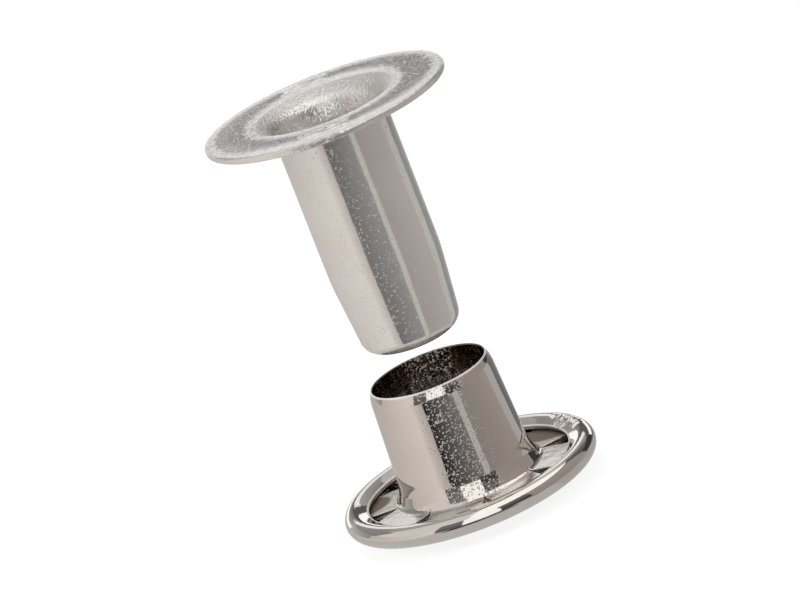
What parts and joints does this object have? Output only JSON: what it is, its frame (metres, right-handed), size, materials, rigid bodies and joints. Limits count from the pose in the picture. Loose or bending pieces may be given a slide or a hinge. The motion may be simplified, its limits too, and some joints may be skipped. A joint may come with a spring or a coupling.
{
  "type": "tubular rivet",
  "caption": "Two-part hollow metal rivet, pulled apart: a flanged tubular post with a tapered tip above a tube that stands in a round domed cap with a curled rim.",
  "frame": {"origin": "the middle of the flat crown of the cap, the lowest point of the part, on the rivet's axis", "axes": "+Z is the rivet's axis, from the cap up through the socket and the post to the post's flange"},
  "size_m": [0.009, 0.009, 0.0149],
  "materials": {
    "cap_plating": "bright nickel plating on drawn sheet",
    "socket_plating": "bright nickel plating with a fine pebbled skin",
    "post_plating": "bright nickel plating, tumbled"
  },
  "bodies": {
    "cap_half": {"cap": "cap_plating", "socket": "socket_plating"},
    "post_half": {"post": "post_plating"}
  },
  "joints": [
    {"name": "post_slide", "type": "slide", "parent": "cap_half", "child": "post_half", "axis": [0, 0, 1], "range_m": [-0.00599, 0]}
  ]
}
